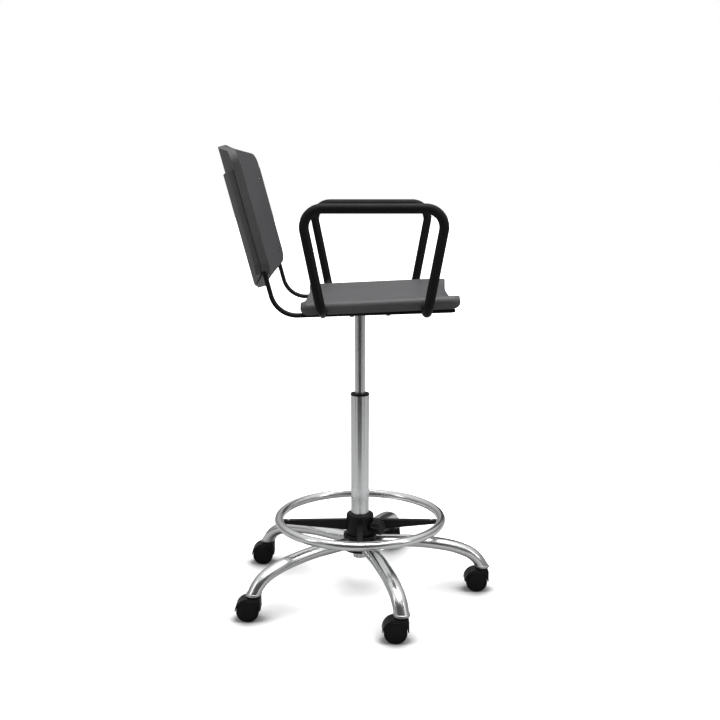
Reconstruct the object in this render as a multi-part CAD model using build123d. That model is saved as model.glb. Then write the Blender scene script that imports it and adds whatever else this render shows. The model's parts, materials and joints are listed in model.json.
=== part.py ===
from build123d import *

import math
import os

# Counter-height swivel chair. Millimetres, +Z up, origin on the floor under the column's axis.
# The sitter faces -Y, so the chair's right side is -X.

# --- column and gas spring ---------------------------------------------------------------
COLUMN_R = 25.0
COLUMN_WALL = 2.0
COLUMN_FOOT_R = 18.5
COLUMN_FOOT_Z = 98.0
COLUMN_TOP_Z = 560.0
COLLAR_H = 6.0
COLUMN_FLOOR_Z = 110.0
COLUMN_FLOOR_T = 4.0
BUSH_LENGTH = 96.0
TUBE_R = 14.0
TUBE_WALL = 2.0
TUBE_FOOT_Z = 344.0
TUBE_TOP_Z = 814.0
ROD_R = 5.0
ROD_TOP_Z = 372.0
SLIDE_FIT = 0.05
PIN_R = 3.0
PIN_TOP_Z = 819.2
CLEARANCE = 0.3

# --- five-arm base -----------------------------------------------------------------------
ARM_COUNT = 5
ARM_FIRST_ANGLE = 197.7
STEM_CIRCLE_R = 342.0
ARM_ROOT_Z = 144.5
ARM_TIP_Z = 68.0
ARM_W, ARM_H, ARM_WALL = 40.0, 33.0, 2.0
ARM_BENDS = ((170.0, 143.0, 600.0), (262.0, 128.5, 250.0), (322.0, 104.0, 85.0))
ARM_END_R, ARM_END_Z = 355.0, 49.8
ARM_PLUG_H = 26.0
HUB_CORE_R = 35.0
HUB_COVER_R = 46.0
HUB_BOTTOM_Z, HUB_TOP_Z = 121.0, 166.0
COVER_WALL = 3.0

# --- casters -----------------------------------------------------------------------------
WHEEL_R = 29.5
WHEEL_INNER_X, WHEEL_OUTER_X = 6.2, 22.0
CASTER_TRAIL = 15.5
HOOD_R = 33.5
HOOD_HALF_W = 21.5
STEM_R = 5.45
STEM_TOP_Z = 84.0
GRIP_Z = 75.0
STEM_BORE_R = 5.5
AXLE_R = 3.0

# --- foot ring ---------------------------------------------------------------------------
RING_R, RING_TUBE_R, RING_WALL, RING_Z = 225.0, 12.0, 1.5, 210.0
SPIDER_R = 38.0
SPIDER_Z0, SPIDER_Z1 = 167.5, 226.0
SPOKE_W = 15.0
SPOKE_ROOT_Z, SPOKE_ROOT_H = 206.5, 30.0
SPOKE_END_Z, SPOKE_END_H = 203.5, 8.5
KNOB_ANGLE = 237.0
KNOB_Z = 193.0
KNOB_R = 20.0
KNOB_IN, KNOB_OUT = 46.0, 72.0
STUD_R = 4.0

# --- seat frame --------------------------------------------------------------------------
FRAME_Z = 811.0
FRAME_SLOPE_DEG = 1.89
RAIL_X = 211.0
RAIL_W, RAIL_H, RAIL_WALL = 22.0, 10.5, 1.8
RAIL_FRONT_Y = -228.0
PLUG_LENGTH = 8.0
RAIL_BEND_R = 66.0
CROSSBAR_Y = (-120.0, 50.0)
MOUNT_HALF_X = 70.0
MOUNT_Y0, MOUNT_Y1 = -137.0, 67.0
PLATE_T = 3.0
LIP_DEPTH = 12.0
SOCKET_R = 22.0
SOCKET_Z0, SOCKET_Z1 = 780.0, 816.5
BOLT_R = 3.0

# --- lever -------------------------------------------------------------------------------
LEVER_R = 4.5
LEVER_Z = 824.0
LEVER_PIVOT_X = 45.0
LEVER_PIN_R = 2.5

# --- seat shell --------------------------------------------------------------------------
SEAT_Z = 819.0
SEAT_TILT_DEG = 2.6
SEAT_HALF_W = 246.0
SEAT_Y0, SEAT_Y1 = -247.0, 146.0
SEAT_H = 27.0
SEAT_SKIN = 5.0
SEAT_DISH = 8.0
SEAT_LIP_Z = -4.0
SEAT_RIDGE_Z, SEAT_RIDGE_OUT = 13.0, 3.0
SEAT_ROLL_R = 13.0
SCOOP_Y, SCOOP_FALL_R, SCOOP_CROSS_R = -165.0, 280.0, 622.0
SEAT_CORNER_R = 42.0
SEAT_SCREW_Y = (-70.0, 20.0)

# --- back shell --------------------------------------------------------------------------
RECLINE_DEG = 14.8
BACK_Y, BACK_Z = 243.0, 1012.0
BACK_HALF_W = 230.0
BACK_W0, BACK_W1 = -149.5, 238.5
BACK_TOP_FALL, BACK_BOTTOM_RISE = 0.155, 0.21
BACK_TOP_R, BACK_BOTTOM_R = 300.0, 150.0
BACK_TOP_CORNER_R, BACK_BOTTOM_CORNER_R = 35.0, 37.0
CREASE_W, CREASE_DEPTH = 166.0, 1.2
BACK_SAG = 48.0
BACK_ROUND_SHARE = 0.5
BACK_SKIN = 4.5
BACK_RIM = 20.0
COVER_HALF_W = 225.0
COVER_TOP_W = 158.0
COVER_MID_N, COVER_SIDE_N, COVER_DEPTH = 71.0, 34.0, 14.0
UPRIGHT_N = 17.5
UPRIGHT_TOP_W = 144.0
BACK_SCREW_W = (-72.0, 134.0)
BACK_SCREW_X = 207.0

# --- armrests ----------------------------------------------------------------------------
ARMREST_X = 300.0
ARMREST_TOP_Z = 1070.0
ARMREST_TUBE_R, ARMREST_WALL = 12.0, 1.8
ARMREST_END_X = 262.0
ARMREST_BEND_R, ARMREST_FOOT_BEND_R = 44.0, 28.0
REAR_LEG = {"foot_y": 92.0, "foot_z": 823.5, "top_y": 142.0}
FRONT_LEG = {"foot_y": -161.0, "foot_z": 820.5, "top_y": -207.0}
TAB_W, TAB_T = 24.0, 4.2


def frame_plane(origin=(0, 0, FRAME_Z)):
    """The seat frame's own plane, which rises a little towards the front."""
    return Plane(origin=origin, x_dir=(1, 0, 0), z_dir=tilted_up(FRAME_SLOPE_DEG))


def tilted_up(degrees):
    """The upward normal of a plane whose front edge is raised by this angle."""
    angle = math.radians(degrees)
    return (0, math.sin(angle), math.cos(angle))


SEAT_PLANE = Plane(origin=(0, 0, SEAT_Z), x_dir=(1, 0, 0), z_dir=tilted_up(SEAT_TILT_DEG))
BACK_PLANE = Plane(origin=(0, BACK_Y, BACK_Z), x_dir=(1, 0, 0), z_dir=tilted_up(RECLINE_DEG))
FRAME_PLANE = frame_plane()


def save(name, *solids):
    """Writes one node: a single solid, or a group of separate ones."""
    flat = [solid for item in solids for solid in item.solids()]
    shape = flat[0] if len(flat) == 1 else Compound(children=flat)
    export_step(shape, f"parts/{name}.step")


def rod(radius, z0, z1):
    return Pos(0, 0, z0) * Cylinder(radius, z1 - z0, align=(Align.CENTER, Align.CENTER, Align.MIN))


def pipe(outer, inner, z0, z1):
    return rod(outer, z0, z1) - rod(inner, z0 - 1, z1 + 1)


def block(x0, x1, y0, y1, z0, z1):
    centre = Pos((x0 + x1) / 2, (y0 + y1) / 2, (z0 + z1) / 2)
    return centre * Box(x1 - x0, y1 - y0, z1 - z0)


def along(axis, shape):
    """Turns a shape made on the Z axis so that it lies along X or Y."""
    return (Rot(0, 90, 0) if axis == "x" else Rot(-90, 0, 0)) * shape


def turned(profile):
    """Revolves an outline drawn in the XZ plane about the Z axis."""
    return revolve(make_face(Plane.XZ * Polyline(*profile, close=True)), Axis.Z)


def hexagon(across_flats, z0, z1):
    flat = RegularPolygon(across_flats / 2, 6, major_radius=False)
    return Pos(0, 0, z0) * extrude(flat, z1 - z0)


def oval(width, height):
    """A flat-oval tube's outline: two flats joined by half circles."""
    return SlotOverall(width, height)


def swept(points, radii, outline, x_dir):
    """Sweeps an outline along straight runs joined by tangent arcs."""
    path = FilletPolyline(*points, radius=radii)
    start = Plane(origin=path @ 0, x_dir=x_dir, z_dir=path % 0)
    return sweep(start * outline, path=path)


def mirrored(shape):
    return mirror(shape, Plane.YZ)


# --- five-arm base -----------------------------------------------------------------------
def arm_outline(shrink):
    return Ellipse(ARM_H / 2 - shrink, ARM_W / 2 - shrink)


def arm_sweep(shrink):
    """One arm along +X: nearly level from the hub, then curving down to its foot."""
    bends = [(x, 0, z) for x, z, _ in ARM_BENDS]
    radii = [radius for _, _, radius in ARM_BENDS]
    path = [(HUB_CORE_R - 6.0, 0, ARM_ROOT_Z), *bends, (ARM_END_R, 0, ARM_END_Z)]
    return swept(path, radii, arm_outline(shrink), x_dir=(0, 0, 1))


def make_base():
    taper = turned(
        [(0, HUB_BOTTOM_Z), (COLUMN_FOOT_R + 1.2, HUB_BOTTOM_Z),
         (COLUMN_R + 0.05, HUB_TOP_Z - 2), (0, HUB_TOP_Z - 2)]
    )
    core = rod(HUB_CORE_R, HUB_BOTTOM_Z + COVER_WALL + 0.2, HUB_TOP_Z - COVER_WALL - 0.2)
    core = core - taper - column_outline()
    save("base_hub_core", core)

    outer, inner, filler = arm_sweep(0), arm_sweep(ARM_WALL), arm_sweep(ARM_WALL + 0.1)
    above_foot = block(0, 500, -60, 60, ARM_TIP_Z, 300)
    tube = (outer - inner) & above_foot
    tube = tube - rod(HUB_CORE_R, 0, 300)
    plug = filler & block(200, 500, -60, 60, ARM_TIP_Z + 0.5, ARM_TIP_Z + ARM_PLUG_H)
    stem_axis = Pos(STEM_CIRCLE_R, 0, 0)
    plug = plug - stem_axis * rod(STEM_BORE_R, 0, STEM_TOP_Z + 1)
    plug = plug - stem_axis * rod(STEM_BORE_R + 0.8, GRIP_Z - 1, GRIP_Z + 3)
    plugs = []
    for number in range(ARM_COUNT):
        turn = Rot(0, 0, ARM_FIRST_ANGLE + number * 360 / ARM_COUNT)
        save(f"base_arm_{number + 1}", turn * tube)
        plugs.append(turn * plug)
    save("arm_socket_plugs", *plugs)

    cover = pipe(HUB_COVER_R, HUB_COVER_R - COVER_WALL, HUB_BOTTOM_Z, HUB_TOP_Z)
    cover = cover + pipe(HUB_COVER_R - 1, COLUMN_R + CLEARANCE, HUB_TOP_Z - COVER_WALL, HUB_TOP_Z)
    cover = cover + pipe(HUB_COVER_R - 1, COLUMN_FOOT_R + 5, HUB_BOTTOM_Z, HUB_BOTTOM_Z + COVER_WALL)
    rims = cover.faces().filter_by(Plane.XY).group_by(Axis.Z)
    cover = fillet(rims[-1].edges().sort_by(SortBy.RADIUS)[-1:], 2.0)
    window = arm_sweep(-CLEARANCE)
    for number in range(ARM_COUNT):
        cover = cover - Rot(0, 0, ARM_FIRST_ANGLE + number * 360 / ARM_COUNT) * window
    seam = 0.1
    save("hub_cover_upper", cover & block(-90, 90, -90, 90, ARM_ROOT_Z + seam, 300))
    save("hub_cover_lower", cover & block(-90, 90, -90, 90, 0, ARM_ROOT_Z - seam))


def column_outline():
    """The column's outside as a solid: a straight tube on a tapered foot."""
    return turned(
        [(0, COLUMN_FOOT_Z), (COLUMN_FOOT_R, COLUMN_FOOT_Z), (COLUMN_FOOT_R + 1.0, HUB_BOTTOM_Z),
         (COLUMN_R, HUB_TOP_Z - 2), (COLUMN_R, COLUMN_TOP_Z), (0, COLUMN_TOP_Z)]
    )


def make_column():
    floor_top = COLUMN_FLOOR_Z + COLUMN_FLOOR_T
    bore_r = COLUMN_R - COLUMN_WALL
    foot_bore_r = COLUMN_FOOT_R - 3.5
    bore = turned(
        [(0, floor_top), (foot_bore_r, floor_top), (foot_bore_r + 1.0, HUB_BOTTOM_Z + 2),
         (bore_r, HUB_TOP_Z), (bore_r, COLUMN_TOP_Z + 1), (0, COLUMN_TOP_Z + 1)]
    )
    column = column_outline() - bore - rod(ROD_R + CLEARANCE, 0, 200)
    column = column - rod(foot_bore_r - 1.0, 0, COLUMN_FLOOR_Z)
    save("column_tube", column)

    bush_bore_r = TUBE_R + SLIDE_FIT
    collar = pipe(COLUMN_R + 0.8, bush_bore_r, COLUMN_TOP_Z, COLUMN_TOP_Z + COLLAR_H)
    collar = fillet(collar.edges().group_by(Axis.Z)[-1].sort_by(SortBy.RADIUS)[-1:], 2.0)
    save("guide_bush", collar + pipe(bore_r, bush_bore_r, COLUMN_TOP_Z - BUSH_LENGTH, COLUMN_TOP_Z))

    race_r = 13.0
    races = [pipe(race_r, ROD_R + CLEARANCE, z, z + 2) for z in (floor_top, floor_top + 6)]
    ball_r = 1.95
    ball_circle_r = 9.2
    ball = Pos(ball_circle_r, 0, floor_top + 4) * Sphere(ball_r)
    balls = [Rot(0, 0, angle) * ball for angle in range(0, 360, 45)]
    save("thrust_bearing", *races, *balls)
    return floor_top + 8


def make_gas_spring(bearing_top):
    seat_z = bearing_top + SLIDE_FIT
    shaft = rod(ROD_R, COLUMN_FOOT_Z + 3, ROD_TOP_Z) + rod(8.5, seat_z, seat_z + 6)
    groove_z = COLUMN_FLOOR_Z - 3.0
    shaft = shaft - pipe(ROD_R + 1, ROD_R - 0.8, groove_z, groove_z + 1.2)
    save("piston_rod", shaft)
    clip = pipe(ROD_R + 3.2, ROD_R - 0.8, groove_z, groove_z + 1.2) - block(0, 20, -3, 3, 0, 200)
    save("rod_clip", clip)
    save("stop_bumper", pipe(12.5, ROD_R, seat_z + 6, seat_z + 16))
    bore_r = TUBE_R - TUBE_WALL
    piston = rod(bore_r - 0.08, ROD_TOP_Z - 12, ROD_TOP_Z) - rod(ROD_R, 0, 900)
    piston = piston - pipe(bore_r + 1, bore_r - 1.5, ROD_TOP_Z - 7.5, ROD_TOP_Z - 4.5)
    save("piston_head", piston)

    cap_t = 20.0
    cap = pipe(bore_r, PIN_R + SLIDE_FIT, TUBE_TOP_Z - cap_t, TUBE_TOP_Z)
    tube = pipe(TUBE_R, bore_r, TUBE_FOOT_Z, TUBE_TOP_Z) + cap
    tube = chamfer(tube.edges().group_by(Axis.Z)[0].sort_by(SortBy.RADIUS)[-1:], 0.8)
    save("pressure_tube", tube)
    save("rod_guide", pipe(bore_r, ROD_R + SLIDE_FIT, TUBE_FOOT_Z, TUBE_FOOT_Z + 12))
    save("release_pin", rod(PIN_R, TUBE_TOP_Z - cap_t - 5, PIN_TOP_Z))


# --- casters -----------------------------------------------------------------------------
def make_wheel():
    """One wheel on the +X side of its caster: a cup with its open side inwards, on the X axis."""
    face_x, hub_x, rim_r, hub_r = 17.0, 10.7, 25.5, 7.0
    bore_end = 19.5
    bore_r = AXLE_R + SLIDE_FIT
    soft = 1.6
    wheel = turned(
        [(0, bore_end), (bore_r, bore_end), (bore_r, hub_x), (hub_r, hub_x), (hub_r, face_x), (rim_r, face_x),
         (rim_r, WHEEL_INNER_X), (WHEEL_R, WHEEL_INNER_X), (WHEEL_R, WHEEL_OUTER_X - soft),
         (WHEEL_R - soft, WHEEL_OUTER_X), (rim_r + 0.8, WHEEL_OUTER_X), (rim_r, WHEEL_OUTER_X - 0.8),
         (rim_r - 1.0, WHEEL_OUTER_X - 0.8), (rim_r - 2.0, WHEEL_OUTER_X), (0, WHEEL_OUTER_X + 0.6)]
    )
    return along("x", wheel)


def make_caster_hood():
    """A hood over the wheels, with a flat front and a thick middle that holds stem and axle."""
    top = WHEEL_R + HOOD_R
    skirt_z = WHEEL_R + 1.5
    centre = Pos(0, CASTER_TRAIL, WHEEL_R)
    outer = centre * along("x", Cylinder(HOOD_R, 2 * HOOD_HALF_W))
    front_y = CASTER_TRAIL - HOOD_R
    outer = outer + block(-HOOD_HALF_W, HOOD_HALF_W, front_y, CASTER_TRAIL, WHEEL_R, top)
    outer = outer & block(-60, 60, -90, 90, skirt_z, 90)
    corner = outer.edges().filter_by(Axis.X).group_by(Axis.Z)[-1].sort_by(Axis.Y)[:1]
    outer = fillet(corner, 4.0)
    web_half = WHEEL_INNER_X - 0.5
    core_half, core_r = 10.0, 23.5
    pocket_r = WHEEL_R + 1.2
    for side in (-1, 1):
        pocket = block(0, 60, -pocket_r, pocket_r, -pocket_r, 0) + along("x", rod(pocket_r, 0, 60))
        pocket = Pos(web_half, 0, 0) * pocket
        pocket = centre * (pocket if side > 0 else mirrored(pocket))
        outer = outer - pocket
    core = centre * along("x", Cylinder(core_r, 2 * core_half))
    hood = outer + (core - block(-60, 60, -90, 90, -10, 12))
    hood = hood - rod(STEM_R, 34, 90)
    return hood - centre * along("x", Cylinder(AXLE_R, 80))


def make_casters():
    wheel = make_wheel()
    centre = Pos(0, CASTER_TRAIL, WHEEL_R)
    hood = make_caster_hood()
    hood_top = WHEEL_R + HOOD_R
    stem = rod(STEM_R, 34, STEM_TOP_Z) + pipe(9.5, STEM_R - 0.5, hood_top, ARM_TIP_Z - 0.4)
    groove = (GRIP_Z, GRIP_Z + 2)
    stem = stem - pipe(STEM_R + 1, STEM_R - 0.7, *groove)
    grip_ring = pipe(STEM_R + 0.4, STEM_R - 0.7, *groove)
    axle = centre * along("x", Cylinder(AXLE_R, 38.0))
    stem = stem - axle
    for number in range(ARM_COUNT):
        angle = math.radians(ARM_FIRST_ANGLE + number * 360 / ARM_COUNT)
        place = Pos(STEM_CIRCLE_R * math.cos(angle), STEM_CIRCLE_R * math.sin(angle), 0)
        name = f"caster_{number + 1}"
        save(f"{name}_hood", place * hood)
        save(f"{name}_hardware", place * stem, place * grip_ring, place * axle)
        save(f"{name}_wheel_left", place * centre * wheel)
        save(f"{name}_wheel_right", place * centre * mirrored(wheel))


# --- foot ring ---------------------------------------------------------------------------
def make_foot_ring():
    ring = Pos(0, 0, RING_Z) * (Torus(RING_R, RING_TUBE_R) - Torus(RING_R, RING_TUBE_R - RING_WALL))
    save("ring_tube", ring)

    knob_turn = Rot(0, 0, KNOB_ANGLE) * Pos(0, 0, KNOB_Z)
    bore_r = COLUMN_R + CLEARANCE + 2.5
    body = rod(SPIDER_R, SPIDER_Z0, SPIDER_Z1)
    body = fillet(body.edges().group_by(Axis.Z)[-1], 8.0)
    boss = knob_turn * along("x", rod(11.0, SPIDER_R - 6, KNOB_IN - 1.2))
    root_r, end_r = SPIDER_R - 8, RING_R - 4
    spoke_side = make_face(
        Plane.XZ * Polyline(
            (root_r, SPOKE_ROOT_Z), (end_r, SPOKE_END_Z), (end_r, SPOKE_END_Z - SPOKE_END_H),
            (root_r, SPOKE_ROOT_Z - SPOKE_ROOT_H), close=True)
    )
    spoke = extrude(spoke_side, SPOKE_W / 2, both=True)
    spider = body + boss
    for quarter in range(4):
        spider = spider + Rot(0, 0, 90 * quarter) * spoke
    seat_r = RING_TUBE_R + 0.02
    spider = spider - rod(bore_r, 0, 400) - Pos(0, 0, RING_Z) * Torus(RING_R, seat_r)
    spider = spider - knob_turn * along("x", rod(STUD_R + CLEARANCE, 0, 80))
    screw_x = RING_R - RING_TUBE_R - 14.0
    fall = (SPOKE_ROOT_Z - SPOKE_END_Z) / (end_r - root_r)
    screw_top = SPOKE_ROOT_Z - fall * (screw_x - root_r) - 0.4
    head_z, tip_z = screw_top - 1.3, screw_top - 7.0
    for quarter in range(4):
        place = Rot(0, 0, 90 * quarter) * Pos(screw_x, 0, 0)
        spider = spider - place * rod(4.0, head_z, SPIDER_Z1) - place * rod(2.0, tip_z, SPIDER_Z1)
    save("ring_spider", spider)

    sleeve = pipe(bore_r, COLUMN_R + CLEARANCE, SPIDER_Z0 + 2, SPIDER_Z1 - 1)
    save("ring_sleeve", sleeve)
    screw = rod(3.8, head_z, screw_top) + rod(2.0, tip_z, head_z)
    save("ring_screws", *[Rot(0, 0, 90 * quarter) * Pos(screw_x, 0, 0) * screw for quarter in range(4)])

    grip = rod(KNOB_R, KNOB_IN, KNOB_OUT)
    lobes = 8
    for number in range(lobes):
        scallop = Rot(0, 0, (number + 0.5) * 360 / lobes) * Pos(KNOB_R + 4.5, 0, 0)
        grip = grip - scallop * rod(7.0, KNOB_IN - 1, KNOB_OUT + 1)
    grip = chamfer(grip.edges().group_by(Axis.Z)[-1], 2.0)
    stud = rod(STUD_R, bore_r + 0.3, KNOB_IN + 12)
    grip = grip - stud
    save("clamp_knob", knob_turn * along("x", grip), knob_turn * along("x", stud))


# --- seat frame --------------------------------------------------------------------------
def upright_end():
    """The upper end of the right-hand upright's centre line, in the row's frame."""
    end = BACK_PLANE.from_local_coords(Vector(RAIL_X, UPRIGHT_N, UPRIGHT_TOP_W))
    return Vector(end.X, end.Y, end.Z)


def rail_points():
    """The rail's centre line: level run, corner where it meets the upright's line, and top end."""
    front = FRAME_PLANE.from_local_coords(Vector(RAIL_X, RAIL_FRONT_Y, 0))
    top = upright_end()
    recline, slope = math.tan(math.radians(RECLINE_DEG)), math.tan(math.radians(FRAME_SLOPE_DEG))
    corner_y = (top.Y + recline * (FRAME_Z - top.Z)) / (1 + recline * slope)
    corner = Vector(RAIL_X, corner_y, FRAME_Z - slope * corner_y)
    return [tuple(front), tuple(corner), tuple(top)]


def rail_sweep(grow):
    outline = oval(RAIL_W + 2 * grow, RAIL_H + 2 * grow)
    return swept(rail_points(), RAIL_BEND_R, outline, x_dir=(1, 0, 0))


def frame_hole(x, y, radius):
    return FRAME_PLANE * Pos(x, y, 0) * Cylinder(radius, 60)


def make_seat_frame():
    outer = rail_sweep(0)
    rail = outer - rail_sweep(-RAIL_WALL)
    for y in (*SEAT_SCREW_Y, REAR_LEG["foot_y"], FRONT_LEG["foot_y"]):
        rail = rail - frame_hole(RAIL_X, y, BOLT_R + 0.1)
    for w in BACK_SCREW_W:
        hole = BACK_PLANE * Pos(BACK_SCREW_X, 0, w) * along("y", rod(2.0, 0, UPRIGHT_N))
        rail = rail - hole
    save("frame_rail_left", rail)
    save("frame_rail_right", mirrored(rail))

    half = RAIL_X - 2
    plate_top = -RAIL_H / 2
    bolt_x = 50.0
    bars = []
    for y in CROSSBAR_Y:
        place = FRAME_PLANE * Pos(-half, y, 0) * Rot(0, 90, 0)
        turned_oval = Rot(0, 0, 90)
        bar = place * extrude(turned_oval * oval(RAIL_W, RAIL_H), 2 * half)
        core_outline = turned_oval * oval(RAIL_W - 2 * RAIL_WALL, RAIL_H - 2 * RAIL_WALL)
        core = place * extrude(core_outline, 2 * half)
        bar = bar - core - outer - mirrored(outer)
        for x in (-bolt_x, bolt_x):
            bar = bar - frame_hole(x, y, BOLT_R + 0.1)
        bars.append(bar)
    save("crossbars", *bars)

    caps = []
    cap = extrude(oval(RAIL_W - 1, RAIL_H - 1), PLUG_LENGTH)
    cap = fillet(cap.edges().group_by(Axis.Z)[-1], 4.0)
    stub = extrude(oval(RAIL_W - 2 * RAIL_WALL - 0.3, RAIL_H - 2 * RAIL_WALL - 0.3), -12.0)
    for x in (-RAIL_X, RAIL_X):
        face = FRAME_PLANE * Pos(x, RAIL_FRONT_Y, 0) * Rot(90, 0, 0)
        caps.append(face * (cap + stub))
    save("rail_plugs", *caps)

    plate = block(-MOUNT_HALF_X, MOUNT_HALF_X, MOUNT_Y0, MOUNT_Y1, plate_top - PLATE_T, plate_top)
    for side in (-1, 1):
        edge = side * (MOUNT_HALF_X - PLATE_T / 2)
        lip_z = plate_top - LIP_DEPTH
        plate = plate + block(edge - PLATE_T / 2, edge + PLATE_T / 2, MOUNT_Y0, MOUNT_Y1, lip_z, plate_top)
    mount = FRAME_PLANE * plate - rod(SOCKET_R, 700, 900)
    mount = mount + pipe(SOCKET_R, TUBE_R, SOCKET_Z0, SOCKET_Z1)
    for ear_y in (-8.5, 8.5):
        ear = block(LEVER_PIVOT_X - 8, LEVER_PIVOT_X + 8, ear_y - 1.5, ear_y + 1.5, FRAME_Z - 8, LEVER_Z + 6)
        mount = mount + ear
    mount = mount - Pos(LEVER_PIVOT_X, 0, LEVER_Z) * along("y", Cylinder(LEVER_PIN_R, 40))
    for y in CROSSBAR_Y:
        for x in (-bolt_x, bolt_x):
            mount = mount - frame_hole(x, y, BOLT_R + 0.1)
    save("seat_mount", mount)
    pivot = along("y", Cylinder(LEVER_PIN_R, 22)) + along("y", rod(4.0, 10.0, 12.0))
    save("lever_pivot_pin", Pos(LEVER_PIVOT_X, 0, LEVER_Z) * pivot)

    def bolt(x, y, under, over):
        """A hex bolt from below with its nut on top, in the frame's plane."""
        head = hexagon(10, under - 4, under)
        shank = rod(BOLT_R, under - 4, over + 7)
        nut = hexagon(10, over, over + 5) - rod(BOLT_R, 0, 99)
        place = FRAME_PLANE * Pos(x, y, 0)
        return [place * (head + shank), place * nut]

    bolts = []
    for x in (-bolt_x, bolt_x):
        for y in CROSSBAR_Y:
            bolts += bolt(x, y, plate_top - PLATE_T, -plate_top)
    for x in (-RAIL_X, RAIL_X):
        for leg in (REAR_LEG, FRONT_LEG):
            bolts += bolt(x, leg["foot_y"], plate_top, -plate_top + TAB_T)
    save("frame_bolts", *bolts)


def make_lever():
    drop_z, grip_z = 785.0, 772.0
    points = [(-7, 0, LEVER_Z), (92, 0, LEVER_Z), (132, 0, drop_z), (268, 0, grip_z)]
    lever = swept(points, [14.0, 20.0], Circle(LEVER_R), x_dir=(0, 1, 0))
    lever = lever - Pos(LEVER_PIVOT_X, 0, LEVER_Z) * along("y", Cylinder(LEVER_PIN_R + SLIDE_FIT, 40))
    grip_start = 214.0
    slope = math.atan2(grip_z - drop_z, 268 - 132)
    start_z = drop_z + (grip_start - 132) * math.tan(slope)
    place = Pos(grip_start, 0, start_z) * Rot(0, -math.degrees(slope), 0) * Rot(0, 90, 0)
    grip = extrude(SlotOverall(24, 13).rotate(Axis.Z, 90), 62.0)
    grip = place * fillet(grip.edges().group_by(Axis.Z)[-1], 3.0)
    save("release_lever", lever)
    save("lever_grip", grip - lever)


# --- seat and back shells ----------------------------------------------------------------
def seat_outline(inset, z):
    width = 2 * (SEAT_HALF_W - inset)
    depth = SEAT_Y1 - SEAT_Y0 - 2 * inset
    return Pos(0, (SEAT_Y0 + SEAT_Y1) / 2, z) * RectangleRounded(width, depth, SEAT_CORNER_R - inset)


def seat_hollow(skin):
    """The sitter's hollow: a shallow trough front to back that falls away towards the front edge."""
    dish_half = 216.0
    dish_r = (dish_half**2 + SEAT_DISH**2) / (2 * SEAT_DISH)
    floor_z = SEAT_H - SEAT_DISH
    trough = Pos(0, 0, floor_z + dish_r) * along("y", Cylinder(dish_r + skin, 900))
    saddle = Torus(SCOOP_FALL_R + SCOOP_CROSS_R, SCOOP_CROSS_R + skin)
    saddle = Pos(0, SCOOP_Y, floor_z - SCOOP_FALL_R) * along("x", saddle)
    return [trough, saddle & block(-300, 300, -400, SCOOP_Y, -50, 100)]


def make_seat_shell():
    shell = loft([seat_outline(SEAT_RIDGE_OUT, SEAT_LIP_Z), seat_outline(0, SEAT_RIDGE_Z)])
    roll = extrude(seat_outline(0, SEAT_RIDGE_Z), SEAT_H - SEAT_RIDGE_Z)
    shell = shell + fillet(roll.faces().sort_by(Axis.Z)[-1].edges(), SEAT_ROLL_R)
    cavity_z = SEAT_LIP_Z - 1
    cavity = extrude(seat_outline(SEAT_SKIN, cavity_z), SEAT_H - SEAT_SKIN - cavity_z)
    for hollow in seat_hollow(0):
        shell = shell - hollow
    for skin in seat_hollow(SEAT_SKIN):
        cavity = cavity - skin
    rail_room = rail_sweep(CLEARANCE)
    shell = SEAT_PLANE * (shell - cavity) - rail_room - mirrored(rail_room)
    screws = []
    boss_z0, boss_z1 = RAIL_H / 2, 32.0
    for x in (-RAIL_X, RAIL_X):
        for y in SEAT_SCREW_Y:
            place = FRAME_PLANE * Pos(x, y, 0)
            shell = shell + place * rod(8.5, boss_z0, boss_z1)
            shell = shell - place * rod(BOLT_R, boss_z0 - 1, boss_z1 - 6)
            head = rod(5.5, -RAIL_H / 2 - 2.6, -RAIL_H / 2)
            screws.append(place * (head + rod(BOLT_R, -RAIL_H / 2 - 1, boss_z1 - 7)))
    for leg in (REAR_LEG, FRONT_LEG):
        slot_half_w, slot_top = TAB_W / 2 + 1.5, RAIL_H / 2 + TAB_T + 0.8
        notch = block(-260, 260, -slot_half_w, slot_half_w, -20, slot_top)
        shell = shell - FRAME_PLANE * Pos(0, leg["foot_y"], 0) * notch
    save("seat_shell", shell)
    save("seat_screws", *screws)


def back_front_n(x):
    """How far the back's front face lies behind its side edges, at a distance x from the middle."""
    share = x / BACK_HALF_W
    bow_r = (BACK_HALF_W**2 + BACK_SAG**2) / (2 * BACK_SAG)
    bowed = (bow_r - math.sqrt(bow_r**2 - x**2)) / BACK_SAG
    waved = (1 - math.cos(math.pi * share)) / 2
    return BACK_SAG * (1 - BACK_ROUND_SHARE * bowed - (1 - BACK_ROUND_SHARE) * waved)


def back_curve(half_width, behind):
    steps = 12
    xs = [half_width * (2 * step / steps - 1) for step in range(steps + 1)]
    return Spline(*[(x, back_front_n(x) + behind) for x in xs])


def back_outline(inset):
    """The back seen square on, in its own width and height, as a thick prism across its depth."""
    half = BACK_HALF_W - inset
    top = BACK_W1 - inset * math.hypot(1, BACK_TOP_FALL)
    bottom = BACK_W0 + inset * math.hypot(1, BACK_BOTTOM_RISE)
    top_side, bottom_side = top - BACK_TOP_FALL * half, bottom + BACK_BOTTOM_RISE * half
    right = [(half, top_side), (half, bottom_side)]
    left = [(-half, bottom_side), (-half, top_side)]
    corners = [(0, top), *right, (0, bottom), *left]
    side_radii = [BACK_TOP_CORNER_R, BACK_BOTTOM_CORNER_R]
    radii = [BACK_TOP_R, *side_radii, BACK_BOTTOM_R, *reversed(side_radii)]
    outline = make_face(FilletPolyline(*corners, radius=[radius - inset for radius in radii], close=True))
    return Pos(0, -50, 0) * (Rot(90, 0, 0) * extrude(outline, -300))


def back_slab(front, rear, w0, w1):
    """A slab between two curves that share their ends' x, from one height to another."""
    sides = [Line(front @ 0, rear @ 0), Line(front @ 1, rear @ 1)]
    return Pos(0, 0, w0) * extrude(make_face(Curve() + [front, rear] + sides), w1 - w0)


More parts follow.
